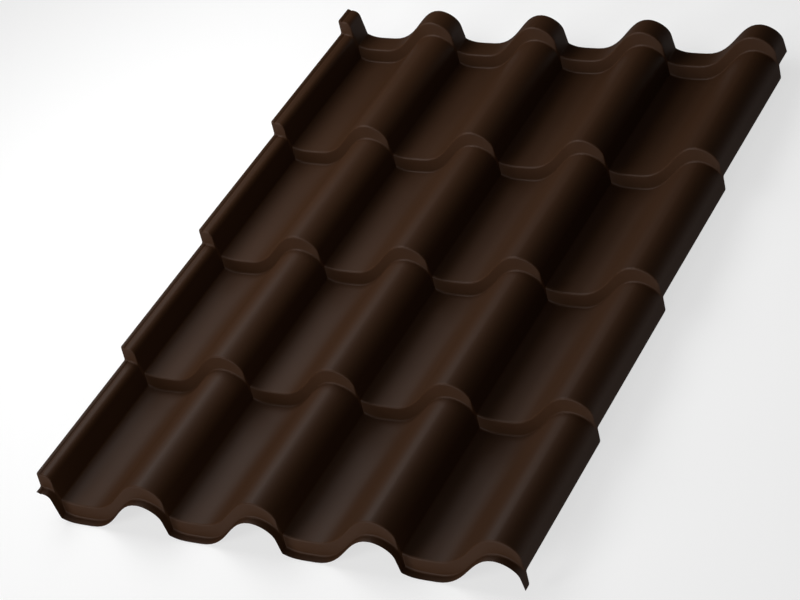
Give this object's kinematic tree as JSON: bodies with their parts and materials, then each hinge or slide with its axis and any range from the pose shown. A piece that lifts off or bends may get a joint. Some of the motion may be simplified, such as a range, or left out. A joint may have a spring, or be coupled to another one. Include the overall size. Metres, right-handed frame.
{
  "type": "metal roof tile sheet",
  "caption": "Pre-painted steel roof tile sheet: deep lengthwise waves crossed by pressed steps, with an overlap flange along one side.",
  "frame": {"origin": "centre of the sheet's footprint, on the plane of the pans' lowest lines, which it lies on", "axes": "+X across the waves, from the overlap flange to the cut edge; +Y up the roof; +Z the weather side"},
  "size_m": [1.049, 1.4716, 0.1185],
  "materials": {
    "painted_sheet": "satin dark brown coil coating"
  },
  "bodies": {
    "root": {"roof_tile_sheet": "painted_sheet"}
  },
  "joints": []
}
